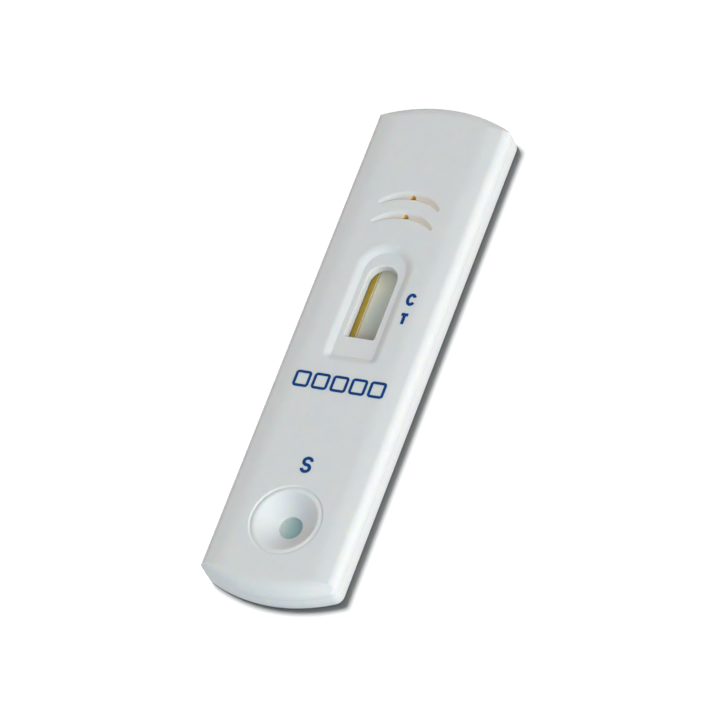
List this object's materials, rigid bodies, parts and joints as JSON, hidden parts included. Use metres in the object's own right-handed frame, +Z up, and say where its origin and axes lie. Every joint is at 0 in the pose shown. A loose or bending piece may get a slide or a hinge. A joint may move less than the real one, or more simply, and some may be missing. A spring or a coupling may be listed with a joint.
{
  "type": "lateral flow cassette",
  "caption": "Slim white plastic test cassette: a moulded two-part case around a paper strip, with a sample well, an arched result window and crescent vents.",
  "frame": {"origin": "centre of the base, on the surface the cassette lies on", "axes": "+X across the width, +Y along the length from the sample well to the vents, +Z up out of the window"},
  "size_m": [0.02, 0.0768, 0.0048],
  "materials": {
    "housing_plastic": "satin moulded",
    "card_plastic": "smooth",
    "membrane_paper": "fine porous",
    "pad_fibre": "fibrous",
    "print_ink": "pad printed"
  },
  "bodies": {
    "root": {"upper_housing": "housing_plastic", "lower_housing": "housing_plastic", "backing_card": "card_plastic", "membrane": "membrane_paper", "conjugate_pad": "pad_fibre", "sample_pad": "pad_fibre", "absorbent_pad": "pad_fibre"}
  },
  "joints": []
}
